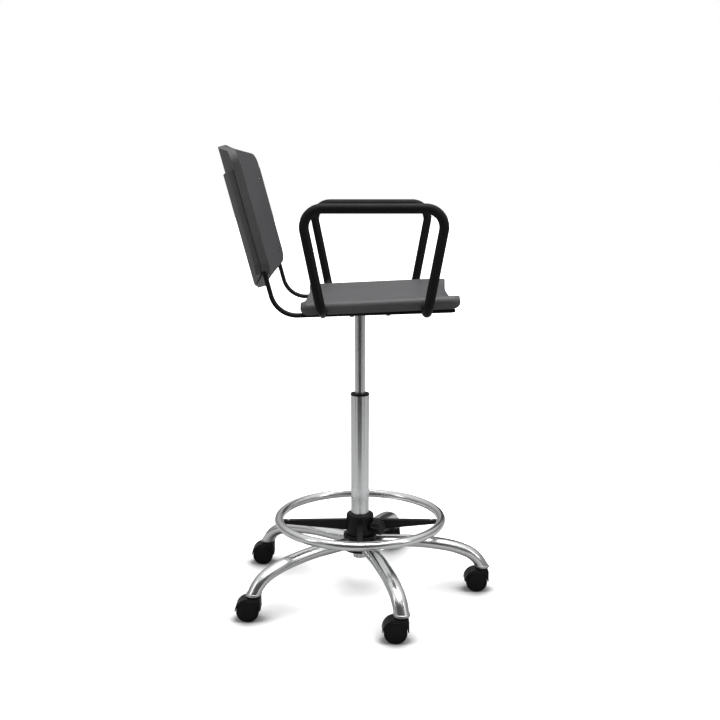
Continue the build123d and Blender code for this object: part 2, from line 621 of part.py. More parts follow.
def cover_profile(shift):
    """The rear cover's side view: its rear face draws in a little to the shell's rim at the top."""
    low, high = BACK_W0 - 10, COVER_TOP_W + 10
    rear = [(COVER_MID_N + 1, low), (COVER_MID_N + 1, 118), (COVER_MID_N - 2, high)]
    points = [(-20, low), *rear, (-20, high)]
    points = [(n - shift, w - shift) for n, w in points]
    return extrude(make_face(Plane.YZ * Polyline(*points, close=True)), 300, both=True)


def cover_arc(depth):
    """The rear cover's section seen from above, bowed rearwards, at a depth in front of its rear face."""
    half, side_n, mid_n = BACK_HALF_W, COVER_SIDE_N - depth, COVER_MID_N - depth
    return ThreePointArc((-half, side_n), (0, mid_n), (half, side_n))


def make_back():
    w0, w1 = BACK_W0 - 1, BACK_W1 + 1
    front, skin_rear = back_curve(BACK_HALF_W, 0), back_curve(BACK_HALF_W, BACK_SKIN)
    rim_rear = back_curve(BACK_HALF_W, BACK_RIM)
    skin = back_slab(front, skin_rear, w0, w1) & back_outline(0)
    rim = back_slab(front, rim_rear, w0, w1) & (back_outline(0) - back_outline(BACK_SKIN))
    shell = skin + rim
    above, below = back_curve(BACK_HALF_W, -2), back_curve(BACK_HALF_W, CREASE_DEPTH)
    shell = shell - back_slab(above, below, CREASE_W, w1)

    gap = 0.2
    wall = 3.0
    band_front = back_curve(BACK_HALF_W, BACK_RIM - wall)
    shell = shell + (back_slab(band_front, rim_rear, COVER_TOP_W + gap, w1) & back_outline(1.0))

    rim_inset = BACK_HALF_W - COVER_HALF_W
    cover = back_slab(cover_arc(COVER_DEPTH), cover_arc(0), w0, COVER_TOP_W)
    cover = cover & back_outline(rim_inset) & cover_profile(0)
    hollow = back_slab(cover_arc(COVER_DEPTH + 5), cover_arc(wall), w0, COVER_TOP_W - wall)
    hollow = hollow & back_outline(rim_inset + wall) & cover_profile(wall)
    cover = cover - hollow

    screws = []
    for x in (-BACK_SCREW_X, BACK_SCREW_X):
        for w in BACK_SCREW_W:
            face_n = back_front_n(BACK_SCREW_X)
            head_n = face_n + 2.2
            place = Pos(x, 0, w)
            boss = place * along("y", rod(8.0, face_n + 2, UPRIGHT_N - RAIL_H / 2 - gap))
            dimple = place * along("y", rod(7.0, -20, head_n))
            shell = shell + boss - dimple - place * along("y", rod(2.2, -20, UPRIGHT_N))
            screw = rod(4.8, head_n - 2, head_n) + rod(2.0, head_n - 1, UPRIGHT_N - 1)
            screws.append(BACK_PLANE * place * along("y", screw))
    tube = rail_sweep(gap)
    save("back_shell", BACK_PLANE * shell - tube - mirrored(tube))
    save("back_cover", BACK_PLANE * cover - tube - mirrored(tube))
    save("back_screws", *screws)


# --- armrests ----------------------------------------------------------------------------
def make_armrests():
    points = [
        (ARMREST_END_X, REAR_LEG["foot_y"], REAR_LEG["foot_z"]),
        (ARMREST_X, REAR_LEG["foot_y"], REAR_LEG["foot_z"]),
        (ARMREST_X, REAR_LEG["top_y"], ARMREST_TOP_Z),
        (ARMREST_X, FRONT_LEG["top_y"], ARMREST_TOP_Z),
        (ARMREST_X, FRONT_LEG["foot_y"], FRONT_LEG["foot_z"]),
        (ARMREST_END_X, FRONT_LEG["foot_y"], FRONT_LEG["foot_z"]),
    ]
    radii = [ARMREST_FOOT_BEND_R, ARMREST_BEND_R, ARMREST_BEND_R, ARMREST_FOOT_BEND_R]
    outline = Circle(ARMREST_TUBE_R) - Circle(ARMREST_TUBE_R - ARMREST_WALL)
    tube = swept(points, radii, outline, x_dir=(0, 1, 0))
    for leg in (REAR_LEG, FRONT_LEG):
        end = Pos(ARMREST_END_X, leg["foot_y"], leg["foot_z"])
        tube = tube + end * along("x", rod(ARMREST_TUBE_R, 0, 2))
        tab = block(RAIL_X - 11, ARMREST_END_X + 1, -TAB_W / 2, TAB_W / 2, RAIL_H / 2, RAIL_H / 2 + TAB_T)
        tube = tube + FRAME_PLANE * Pos(0, leg["foot_y"], 0) * tab
        tube = tube - frame_hole(RAIL_X, leg["foot_y"], BOLT_R + 0.1)
    save("armrest_left", tube)
    save("armrest_right", mirrored(tube))


def main():
    os.makedirs("parts", exist_ok=True)
    make_base()
    bearing_top = make_column()
    make_gas_spring(bearing_top)
    make_casters()
    make_foot_ring()
    make_seat_frame()
    make_lever()
    make_seat_shell()
    make_back()
    make_armrests()


main()
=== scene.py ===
import json
import math

import bpy
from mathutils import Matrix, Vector


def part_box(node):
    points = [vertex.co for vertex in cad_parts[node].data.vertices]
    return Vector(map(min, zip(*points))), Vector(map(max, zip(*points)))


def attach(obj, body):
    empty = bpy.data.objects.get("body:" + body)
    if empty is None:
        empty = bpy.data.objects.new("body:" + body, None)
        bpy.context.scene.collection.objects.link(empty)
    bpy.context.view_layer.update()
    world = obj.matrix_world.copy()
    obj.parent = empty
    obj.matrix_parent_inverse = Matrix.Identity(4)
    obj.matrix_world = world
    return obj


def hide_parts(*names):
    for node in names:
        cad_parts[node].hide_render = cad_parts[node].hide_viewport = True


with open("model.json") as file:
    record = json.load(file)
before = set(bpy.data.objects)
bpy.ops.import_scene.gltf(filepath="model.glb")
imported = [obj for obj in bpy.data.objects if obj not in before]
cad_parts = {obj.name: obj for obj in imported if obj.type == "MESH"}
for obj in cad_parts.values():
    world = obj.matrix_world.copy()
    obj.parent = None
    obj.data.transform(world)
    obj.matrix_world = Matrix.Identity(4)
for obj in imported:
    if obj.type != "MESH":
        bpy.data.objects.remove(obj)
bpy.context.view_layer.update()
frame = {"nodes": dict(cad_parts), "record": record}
nodes = frame["nodes"]

MM = 0.001
SLOT_OF_NODE = {part["node"]: part["material_slot"] for part in frame["record"]["subparts"]}

# --- the chair's sizes, in millimetres and degrees ---------------------------------------
CASTER_NUMBERS = range(1, 6)
CASTER_TRAIL = 15.5
RIM_INSET, RIM_HALF_W, RIM_HALF_T, RIM_SINK = 3.1, 0.85, 0.8, 0.6

ARM_HALF_W, ARM_HALF_H = 20.0, 16.5
ARM_LAST_RUN, ARM_LAST_DROP = 33.0, 54.2
ARM_TIP_R = 343.9
# Each point of these sections is its distance out from the tube and its height.
COLLAR_SECTION = ((-0.3, 0.3), (0.8, 0.3), (1.2, 0.9), (1.2, 5.4), (0.7, 6.2), (-0.3, 6.4))
DUST_RING_SECTION = ((0.05, 0.0), (4.6, 0.0), (4.4, 0.9), (3.2, 1.4), (1.6, 2.2), (0.6, 3.4), (0.05, 3.6))

FRAME_MIDDLE_Z, FRAME_SLOPE_DEG = 811.0, 1.89
RAIL_X = 211.0
CROSSBAR_HALF_W, CROSSBAR_HALF_H = 11.0, 5.25
CROSSBAR_WELD_R, CROSSBAR_WELD_GAP = 1.5, 0.4
SOCKET_WELD_R, SOCKET_WELD_WIDTH, SOCKET_WELD_DROP = 1.8, 44.6, 1.8
WELD_RIPPLE, WELD_RIPPLE_PITCH = 0.14, 2.2

RECLINE_DEG = 14.8
BACK_SCREW_R, BACK_SCREW_T, BACK_SCREW_SINK = 4.8, 2.0, 0.4
BACK_HEAD_R, BACK_HEAD_H = 5.0, 1.5
RING_SCREW_R, RING_SCREW_SINK = 3.8, 0.1
RING_HEAD_R, RING_HEAD_H = 3.7, 1.3
# Each point is a share of the head's radius and a share of its height.
HEAD_PROFILE = ((1.0, 0.0), (1.0, 0.35), (0.94, 0.6), (0.82, 0.82), (0.66, 0.95), (0.58, 1.0))
HEX_RISES, HEX_ACROSS_FLATS = (0.97, 0.25), 0.86

SEAT_PLANE_Z, SEAT_TILT_DEG, SEAT_HIGH = 819.0, 2.6, 27.0
SEAT_FRONT, SEAT_REAR = -247.0, 146.0
PAN_HALF_W, PAN_T, PAN_END_REACH = 222.0, 5.0, 5.0
DISH_DEPTH, DISH_HALF_W = 8.0, 216.0
# The front falls over the last share of the seat's depth, and least near the rolled sides.
FALL_START, FALL_SHARE, FALL_DEPTH = 0.78, 0.22, 18.0
FALL_FULL_X, FALL_NONE_X = 130.0, 232.0
PAN_SHORTER, SHORT_FULL_X, SHORT_NONE_X = 0.035, 130.0, 240.0
ROLL_X, ROLL_Z, ROLL_R, ROLL_CORE_Z = 233.0, 14.0, 13.0, 12.0
ROLL_FROM_DEG, ROLL_SWEEP_DEG, ROLL_END_REACH = 100.0, 155.0, 1.7
ROLL_LIP = [(239.6, -3.4), (239.2, -4.0), (236.6, -4.0), (236.2, -3.4), (235.4, 8.0), (231.0, 17.5)]
END_FULLNESS = 0.06
SEAT_SCREW_R = 5.5
BOSS_FOOT, BOSS_TOP, BOSS_FLARE_H, BOSS_CHAMFER_H = 5.3, 22.5, 3.0, 0.8
BOSS_FOOT_R, BOSS_LOW_R, BOSS_NECK_R, BOSS_TOP_R = 7.6, 8.5, 8.3, 10.5

# --- the studio's sizes, in metres and degrees -------------------------------------------
CAMERA_BACK, CAMERA_HEIGHT = 2.661, 1.1294
CAMERA_PITCH_DEG = 10.08
CAMERA_LENS, SENSOR = 49.85, 36.0
WHITE = (1.0, 1.0, 1.0, 1.0)
FLOOR_REACH = 30.0
FLOOR_GREY, FLOOR_SEEN_GREY, FLOOR_GLOW = 0.42, 1.3, 0.24
SHADOW_REACH = 0.13
GLOW_SPAN = 4.0
MIX_FIRST, MIX_SECOND, MIX_RESULT = 6, 7, 2


# --- node helpers ------------------------------------------------------------------------
class Shader:
    """One procedural material on a Principled shader, in the thing's own coordinates."""

    def __init__(self, name, colour, roughness, **fixed):
        self.material = bpy.data.materials.new(name)
        self.material.use_nodes = True
        self.tree = self.material.node_tree
        self.bsdf = self.tree.nodes["Principled BSDF"]
        self.bsdf.inputs["Base Color"].default_value = (*colour, 1.0)
        self.bsdf.inputs["Roughness"].default_value = roughness
        for socket, value in fixed.items():
            self.bsdf.inputs[socket.replace("_", " ")].default_value = value
        self.place = self.tree.nodes.new("ShaderNodeTexCoord").outputs["Object"]
        self.normal = None

    def link(self, output, target):
        self.tree.links.new(output, target)

    def noise(self, size, detail, stretch=(1.0, 1.0, 1.0)):
        """Noise whose blotches are about this size, in metres."""
        mapping = self.tree.nodes.new("ShaderNodeMapping")
        mapping.inputs["Scale"].default_value = stretch
        node = self.tree.nodes.new("ShaderNodeTexNoise")
        node.inputs["Scale"].default_value = 1.0 / size
        node.inputs["Detail"].default_value = detail
        self.link(self.place, mapping.inputs["Vector"])
        self.link(mapping.outputs["Vector"], node.inputs["Vector"])
        return node.outputs["Fac"]

    def cells(self, size, feature="F1"):
        """Pebbles or crystals about this size, in metres."""
        node = self.tree.nodes.new("ShaderNodeTexVoronoi")
        node.feature = feature
        node.inputs["Scale"].default_value = 1.0 / size
        self.link(self.place, node.inputs["Vector"])
        return node.outputs["Distance"]

    def ramp(self, value, stops, levels):
        """Maps a value through stops to grey levels or to colours."""
        node = self.tree.nodes.new("ShaderNodeValToRGB")
        elements = node.color_ramp.elements
        while len(elements) < len(stops):
            elements.new(0.5)
        for element, stop, level in zip(elements, stops, levels):
            element.position = stop
            element.color = (*level, 1.0) if isinstance(level, tuple) else (level, level, level, 1.0)
        self.link(value, node.inputs["Fac"])
        return node.outputs["Color"]

    def product(self, first, second):
        node = self.tree.nodes.new("ShaderNodeVectorMath")
        node.operation = "MULTIPLY"
        self.link(first, node.inputs[0])
        self.link(second, node.inputs[1])
        return node.outputs["Vector"]

    def colour(self, output):
        self.link(output, self.bsdf.inputs["Base Color"])

    def roughness(self, output):
        self.link(output, self.bsdf.inputs["Roughness"])

    def soft_edges(self, radius):
        """Rounds sharp edges in the shading, as a moulded edge is. It comes before any bump."""
        node = self.tree.nodes.new("ShaderNodeBevel")
        node.samples = 4
        node.inputs["Radius"].default_value = radius
        self.normal = node.outputs["Normal"]
        self.link(self.normal, self.bsdf.inputs["Normal"])

    def bump(self, height, depth, strength):
        """Adds relief this deep, in metres, on top of any relief added before."""
        node = self.tree.nodes.new("ShaderNodeBump")
        node.inputs["Distance"].default_value = depth
        node.inputs["Strength"].default_value = strength
        self.link(height, node.inputs["Height"])
        if self.normal is not None:
            self.link(self.normal, node.inputs["Normal"])
        self.normal = node.outputs["Normal"]
        self.link(self.normal, self.bsdf.inputs["Normal"])


# --- materials ---------------------------------------------------------------------------
def moulded_grey():
    """Spark-eroded polypropylene: a fine pebble grain, a slow mottle and faint rubbed patches."""
    shader = Shader("seat_and_back_plastic", (0.062, 0.062, 0.065), 0.5, Specular_IOR_Level=0.38)
    mottle = shader.noise(0.09, detail=4.0)
    shader.colour(shader.ramp(mottle, (0.3, 0.7), ((0.059, 0.059, 0.062), (0.066, 0.066, 0.069))))
    rubbed = shader.noise(0.16, detail=3.0)
    shader.roughness(shader.ramp(rubbed, (0.35, 0.68), (0.54, 0.46)))
    shader.soft_edges(0.6 * MM)
    shader.bump(shader.cells(1.1 * MM, feature="SMOOTH_F1"), 0.05 * MM, 0.35)
    shader.bump(shader.noise(0.45 * MM, detail=3.0), 0.03 * MM, 0.3)
    return shader.material


def moulded_black(name, colour, roughness, grain):
    """Black moulding: a mottle, a patchy sheen and a grain about this size."""
    shader = Shader(name, colour, roughness, Specular_IOR_Level=0.2)
    mottle = shader.noise(0.03, detail=4.0)
    dark = tuple(0.8 * c for c in colour)
    light = tuple(1.25 * c for c in colour)
    shader.colour(shader.ramp(mottle, (0.3, 0.7), (dark, light)))
    rubbed = shader.noise(0.02, detail=5.0)
    shader.roughness(shader.ramp(rubbed, (0.3, 0.7), (roughness + 0.07, roughness - 0.07)))
    shader.soft_edges(0.5 * MM)
    shader.bump(shader.noise(grain, detail=3.0), 0.04 * MM, 0.35)
    return shader.material


def powder_coat():
    """Baked powder paint: orange-peel relief with a finer grain of the powder."""
    shader = Shader("black_powder_coat", (0.009, 0.009, 0.010), 0.40, Specular_IOR_Level=0.08)
    shader.colour(shader.ramp(shader.noise(1.2 * MM, detail=5.0), (0.35, 0.7), (0.0075, 0.0105)))
    shader.roughness(shader.ramp(shader.noise(0.05, detail=4.0), (0.3, 0.7), (0.47, 0.37)))
    shader.soft_edges(0.5 * MM)
    shader.bump(shader.noise(2.2 * MM, detail=1.0), 0.02 * MM, 0.35)
    shader.bump(shader.noise(0.35 * MM, detail=2.0), 0.01 * MM, 0.25)
    return shader.material


def chrome():
    """Decorative chrome: blurred a little, with faint polishing waves, hairlines and haze."""
    shader = Shader("polished_chrome", (0.80, 0.805, 0.81), 0.07, Metallic=1.0)
    haze = shader.noise(0.06, detail=5.0)
    shader.colour(shader.ramp(haze, (0.3, 0.7), ((0.76, 0.765, 0.77), (0.83, 0.835, 0.84))))
    shader.roughness(shader.ramp(haze, (0.35, 0.75), (0.20, 0.28)))
    shader.bump(shader.noise(0.028, detail=1.0), 0.08 * MM, 0.4)
    shader.bump(shader.noise(0.4 * MM, detail=2.0, stretch=(1.0, 1.0, 0.06)), 0.003 * MM, 0.4)
    return shader.material


def zinc():
    """Zinc plating: small crystals with an uneven sheen."""
    shader = Shader("zinc_plated_steel", (0.5, 0.5, 0.5), 0.34, Metallic=1.0)
    crystals = shader.cells(4.0 * MM)
    shader.colour(shader.ramp(crystals, (0.1, 0.8), ((0.44, 0.44, 0.43), (0.58, 0.58, 0.59))))
    shader.roughness(shader.ramp(shader.noise(6.0 * MM, detail=4.0), (0.3, 0.7), (0.27, 0.42)))
    shader.soft_edges(0.3 * MM)
    shader.bump(shader.noise(0.3 * MM, detail=2.0), 0.01 * MM, 0.4)
    return shader.material


def rubber():
    """Black rubber: a dull, slightly uneven surface."""
    shader = Shader("seal_rubber", (0.016, 0.016, 0.016), 0.75)
    shader.colour(shader.ramp(shader.noise(4.0 * MM, detail=4.0), (0.3, 0.7), (0.013, 0.021)))
    shader.roughness(shader.ramp(shader.noise(8.0 * MM, detail=4.0), (0.3, 0.7), (0.68, 0.82)))
    shader.bump(shader.noise(0.5 * MM, detail=3.0), 0.03 * MM, 0.5)
    return shader.material


MATERIALS = {
    "chrome": chrome(),
    "black_plastic": moulded_black("black_moulding", (0.006, 0.006, 0.0064), 0.42, 0.6 * MM),
    "caster_plastic": moulded_black("caster_hood_moulding", (0.005, 0.005, 0.0054), 0.36, 0.5 * MM),
    "wheel_plastic": moulded_black("caster_wheel_moulding", (0.003, 0.003, 0.0032), 0.42, 0.4 * MM),
    "grey_plastic": moulded_grey(),
    "black_steel": powder_coat(),
    "steel": zinc(),
    "seal_rubber": rubber(),
}


def give_material(thing, material):
    thing.data.materials.clear()
    thing.data.materials.append(material)


def dress_cad_nodes():
    for name, thing in nodes.items():
        give_material(thing, MATERIALS[SLOT_OF_NODE[name]])


# --- pieces built here -------------------------------------------------------------------
def around(steps):
    """Evenly spaced turns round a circle, in radians."""
    return [math.tau * k / steps for k in range(steps)]


def smooth_step(low, high, value):
    share = min(1.0, max(0.0, (value - low) / (high - low)))
    return share * share * (3.0 - 2.0 * share)


def middle_of(node):
    low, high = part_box(node)
    return (low + high) / 2


def add_piece(name, rings, body, slot_name, closed_loop=False):
    """Skins a row of closed rings into one mesh, capped at both ends or joined end to end."""
    size, count = len(rings[0]), len(rings)
    verts = [tuple(point) for ring in rings for point in ring]
    faces = []
    for row in range(count if closed_loop else count - 1):
        here, after = row * size, (row + 1) % count * size
        for k in range(size):
            nxt = (k + 1) % size
            faces.append((here + k, here + nxt, after + nxt, after + k))
    if not closed_loop:
        faces.append(tuple(reversed(range(size))))
        faces.append(tuple(range((count - 1) * size, count * size)))
    mesh = bpy.data.meshes.new(name)
    mesh.from_pydata(verts, [], faces)
    mesh.validate()
    for polygon in mesh.polygons:
        polygon.use_smooth = True
    thing = bpy.data.objects.new(name, mesh)
    bpy.context.scene.collection.objects.link(thing)
    give_material(thing, MATERIALS[slot_name])
    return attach(thing, body)


def arm_direction(number):
    """The unit vector from the column towards this arm's caster."""
    foot = middle_of(f"caster_{number}_hood")
    stem = Vector((foot.x, foot.y - CASTER_TRAIL * MM, 0.0))
    return stem.normalized()


def add_tip_collars():
    """A rolled band round each arm's cut end, following the leaning oval tube."""
    lean = ARM_LAST_RUN / ARM_LAST_DROP
    radial = ARM_HALF_H * math.hypot(1.0, lean)
    for number in CASTER_NUMBERS:
        along = arm_direction(number)
        across = Vector((-along.y, along.x, 0.0))
        tip_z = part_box(f"base_arm_{number}")[0].z
        rings = []
        for turn in around(72):
            ring = []
            for out, rise in COLLAR_SECTION:
                height = Vector((0, 0, tip_z + rise * MM))
                centre = ARM_TIP_R * MM - rise * MM * lean
                reach = along * (centre + (radial + out) * MM * math.cos(turn))
                ring.append(reach + across * ((ARM_HALF_W + out) * MM * math.sin(turn)) + height)
            rings.append(ring)
        add_piece(f"arm_tip_collar_{number}", rings, "base", "steel", closed_loop=True)


def bead(name, path, radius, body, slot_name):
    """A rippled weld bead along a closed path."""
    rings = []
    count = len(path)
    travelled = 0.0
    for k in range(count):
        here, before, after = path[k], path[k - 1], path[(k + 1) % count]
        travelled += (here - before).length if k else 0.0
        along = (after - before).normalized()
        side = along.cross(Vector((0, 0, 1)))
        side = side.normalized() if side.length > 0.2 else along.cross(Vector((0, 1, 0))).normalized()
        up = side.cross(along)
        swell = 1.0 + WELD_RIPPLE * math.cos(math.tau * travelled / (WELD_RIPPLE_PITCH * MM))
        r = radius * MM * swell
        rings.append([here + side * (r * math.cos(turn)) + up * (r * math.sin(turn)) for turn in around(10)])
    add_piece(name, rings, body, slot_name, closed_loop=True)


def oval_path(centre, wide, high, across, up):
    """Points round a flat oval: two flats joined by half circles."""
    radius, flat = high / 2, (wide - high) / 2
    points = []
    for turn in around(120):
        push = flat if math.cos(turn) > 0 else -flat
        points.append(centre + across * (push + radius * math.cos(turn)) + up * (radius * math.sin(turn)))
    return points


def add_welds():
    """Beads where the crossbars meet the rails and where the mount's socket meets its plate."""
    bars_low, bars_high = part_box("crossbars")
    rail_low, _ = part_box("frame_rail_left")
    half_w, half_h = CROSSBAR_HALF_W * MM, CROSSBAR_HALF_H * MM
    bars = ((bars_low.y + half_w, bars_high.z - half_h), (bars_high.y - half_w, bars_low.z + half_h))
    for sign, side in ((-1, "right"), (1, "left")):
        for row, (y, z) in enumerate(bars):
            centre = Vector((sign * (rail_low.x - CROSSBAR_WELD_GAP * MM), y, z))
            path = oval_path(centre, 2 * half_w, 2 * half_h, Vector((0, 1, 0)), Vector((0, 0, 1)))
            bead(f"crossbar_weld_{side}_{row + 1}", path, CROSSBAR_WELD_R, "seat", "black_steel")
    centre = Vector((0, 0, bars_low.z - SOCKET_WELD_DROP * MM))
    width = SOCKET_WELD_WIDTH * MM
    path = oval_path(centre, width, width, Vector((1, 0, 0)), Vector((0, 1, 0)))
    bead("socket_weld", path, SOCKET_WELD_R, "seat", "black_steel")


def hexagon_radius(turn, across_flats):
    wedge = (turn + math.pi / 6) % (math.pi / 3) - math.pi / 6
    return across_flats / 2 / math.cos(wedge)


def socket_head(name, centre, axis, radius, height, body, slot_name):
    """A domed screw head with a hexagon socket, its underside at the centre point."""
    axis = axis.normalized()
    side = axis.cross(Vector((1, 0, 0))) if abs(axis.x) < 0.8 else axis.cross(Vector((0, 1, 0)))
    side.normalize()
    other = axis.cross(side)

    def point(reach, turn, rise):
        spoke = side * (reach * math.cos(turn)) + other * (reach * math.sin(turn))
        return centre + spoke + axis * (height * rise)

    turns = around(36)
    rings = [[point(radius * out, turn, rise) for turn in turns] for out, rise in HEAD_PROFILE]
    for rise in HEX_RISES:
        rings.append([point(hexagon_radius(turn, HEX_ACROSS_FLATS * radius), turn, rise) for turn in turns])
    add_piece(name, rings, body, slot_name)


def add_screw_heads():
    """Heads on the back's four screws, square to its reclined face, and on the ring's four."""
    low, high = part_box("back_screws")
    recline = math.radians(RECLINE_DEG)
    forward = Vector((0.0, -math.cos(recline), math.sin(recline)))
    head, head_t = BACK_SCREW_R * MM, BACK_SCREW_T * MM
    lower_y = low.y + head * math.sin(recline)
    lower_z = low.z + head * math.cos(recline) + head_t * math.sin(recline)
    upper_z = high.z - head * math.cos(recline)
    upper_y = lower_y + (upper_z - lower_z) * math.tan(recline)
    for side, x in (("right", low.x + head), ("left", high.x - head)):
        for row, (y, z) in enumerate(((lower_y, lower_z), (upper_y, upper_z))):
            foot = Vector((x, y, z)) - forward * (BACK_SCREW_SINK * MM)
            socket_head(f"back_screw_head_{side}_{row + 1}", foot, forward,
                        BACK_HEAD_R * MM, BACK_HEAD_H * MM, "seat", "grey_plastic")
    low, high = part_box("ring_screws")
    reach = RING_SCREW_R * MM
    foot_z = high.z - RING_SCREW_SINK * MM
    spots = [(high.x - reach, 0.0), (low.x + reach, 0.0), (0.0, high.y - reach), (0.0, low.y + reach)]
    for number, (x, y) in enumerate(spots):
        socket_head(f"ring_screw_head_{number + 1}", Vector((x, y, foot_z)), Vector((0, 0, 1)),
                    RING_HEAD_R * MM, RING_HEAD_H * MM, "foot_ring", "steel")


def add_wheel_rims():
    """A raised bead near the edge of each wheel's smooth outer disc."""
    for number in CASTER_NUMBERS:
        for side, sign in (("left", 1), ("right", -1)):
            node = f"caster_{number}_wheel_{side}"
            low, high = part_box(node)
            middle = (low + high) / 2
            face = high.x if sign > 0 else low.x
            radius = (high.z - low.z) / 2 - RIM_INSET * MM
            rings = []
            for turn in around(96):
                way = Vector((0.0, math.cos(turn), math.sin(turn)))
                ring = []
                for roll in around(10):
                    out = radius + RIM_HALF_W * MM * math.cos(roll)
                    lift = sign * (RIM_HALF_T * MM * math.sin(roll) - RIM_SINK * MM)
                    ring.append(Vector((face + lift, middle.y, middle.z)) + way * out)
                rings.append(ring)
            add_piece(f"wheel_rim_{number}_{side}", rings, node, "caster_plastic", closed_loop=True)


def seat_top_height(x, share):
    """The seat's upper face over its underside plane: a trough that falls off at the front."""
    dish = DISH_DEPTH * max(0.0, 1.0 - (x / DISH_HALF_W) ** 2)
    front = max(0.0, (share - FALL_START) / FALL_SHARE)
    beside = smooth_step(FALL_FULL_X, FALL_NONE_X, abs(x))
    return SEAT_HIGH - dish - FALL_DEPTH * front * front * (1.0 - beside)


def seat_section(share):
    """One section across the seat, each point with the middle it shrinks to at the ends."""
    pan_steps, roll_steps = 52, 14
    upper = []
    under = []
    for k in range(pan_steps + 1):
        x = -PAN_HALF_W + 2 * PAN_HALF_W * k / pan_steps
        z = seat_top_height(x, share)
        upper.append((x, z, x, z - PAN_T / 2))
        under.append((x, z - PAN_T, x, z - PAN_T / 2))
    roll = []
    for k in range(roll_steps + 1):
        turn = math.radians(ROLL_FROM_DEG - ROLL_SWEEP_DEG * k / roll_steps)
        roll.append((ROLL_X + ROLL_R * math.cos(turn), ROLL_Z + ROLL_R * math.sin(turn)))
    roll += ROLL_LIP
    right = [(x, z, ROLL_X, ROLL_CORE_Z) for x, z in roll]
    left = [(-x, z, -ROLL_X, ROLL_CORE_Z) for x, z in reversed(roll)]
    return upper + right + list(reversed(under)) + left


def seat_ring(share):
    """The section at this share of the seat's depth, rounded near its ends, in world metres."""
    tilt = math.radians(SEAT_TILT_DEG)
    middle_y, half_y = (SEAT_REAR + SEAT_FRONT) / 2, (SEAT_REAR - SEAT_FRONT) / 2
    from_end = min(share, 1.0 - share) * 2 * half_y
    ring = []
    for x, z, mid_x, mid_z in seat_section(share):
        reach = ROLL_END_REACH * ROLL_R if abs(mid_x) == ROLL_X else PAN_END_REACH
        depth = max(0.0, 1.0 - from_end / reach)
        fullness = max(END_FULLNESS, math.sqrt(1.0 - depth * depth))
        x, z = mid_x + (x - mid_x) * fullness, mid_z + (z - mid_z) * fullness
        shorter = 1.0 - PAN_SHORTER * (1.0 - smooth_step(SHORT_FULL_X, SHORT_NONE_X, abs(mid_x)))
        y = middle_y + half_y * (1.0 - 2.0 * share) * shorter
        ring.append(Vector((
            x, y * math.cos(tilt) + z * math.sin(tilt),
            SEAT_PLANE_Z - y * math.sin(tilt) + z * math.cos(tilt))) * MM)
    return ring


def add_seat_shell():
    """The moulded seat: a thin dished pan between two rolled sides that run past its ends."""
    sections = 90
    shares = [0.5 - 0.5 * math.cos(math.pi * k / sections) for k in range(sections + 1)]
    shell = add_piece("seat_pan", [seat_ring(share) for share in shares], "seat", "grey_plastic")
    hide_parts("seat_shell")


def add_seat_bosses():
    """The round posts under the seat that its screws go up into."""
    seat_slope = math.sin(math.radians(SEAT_TILT_DEG))
    frame_slope = math.tan(math.radians(FRAME_SLOPE_DEG))
    screws_low, screws_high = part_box("seat_screws")
    rows = (screws_low.y + SEAT_SCREW_R * MM, screws_high.y - SEAT_SCREW_R * MM)
    for sign, side in ((-1, "right"), (1, "left")):
        for row, y in enumerate(rows):
            centre = Vector((sign * RAIL_X * MM, y, 0.0))
            top = (SEAT_PLANE_Z - y / MM * seat_slope + BOSS_TOP) * MM
            foot = (FRAME_MIDDLE_Z - y / MM * frame_slope + BOSS_FOOT) * MM
            profile = ((BOSS_FOOT_R, foot), (BOSS_LOW_R, foot + BOSS_CHAMFER_H * MM),
                       (BOSS_NECK_R, top - BOSS_FLARE_H * MM), (BOSS_TOP_R, top))
            rings = [
                [centre + Vector((out * MM * math.cos(turn), out * MM * math.sin(turn), z))
                 for turn in around(32)]
                for out, z in profile
            ]
            add_piece(f"seat_boss_{side}_{row + 1}", rings, "seat", "grey_plastic")


def add_dust_ring():
    """A rubber lip where the column leaves the hub's cover."""
    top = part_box("hub_cover_upper")[1].z
    low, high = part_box("column_tube")
    column_r = (high.x - low.x) / 2
    rings = []
    for turn in around(96):
        way = Vector((math.cos(turn), math.sin(turn), 0.0))
        rings.append([way * (column_r + out * MM) + Vector((0, 0, top + rise * MM))
                      for out, rise in DUST_RING_SECTION])
    add_piece("column_dust_ring", rings, "base", "seal_rubber", closed_loop=True)


def add_pieces():
    add_tip_collars()
    add_welds()
    add_screw_heads()
    add_wheel_rims()
    add_seat_shell()
    add_seat_bosses()
    add_dust_ring()


# --- studio ------------------------------------------------------------------------------
def make_camera():
    """Stands at the chair's right side, a little above the seat, looking slightly down."""
    data = bpy.data.cameras.new("camera")
    data.lens, data.sensor_width = CAMERA_LENS, SENSOR
    camera = bpy.data.objects.new("camera", data)
    bpy.context.scene.collection.objects.link(camera)
    camera.location = (-CAMERA_BACK, 0.0, CAMERA_HEIGHT)
    camera.rotation_euler = (math.radians(90.0 - CAMERA_PITCH_DEG), 0.0, math.radians(-90.0))
    bpy.context.scene.camera = camera


def make_plane(name, corners):
    mesh = bpy.data.meshes.new(name)
    mesh.from_pydata(corners, [], [tuple(range(len(corners)))])
    plane = bpy.data.objects.new(name, mesh)
    bpy.context.scene.collection.objects.link(plane)
    return plane


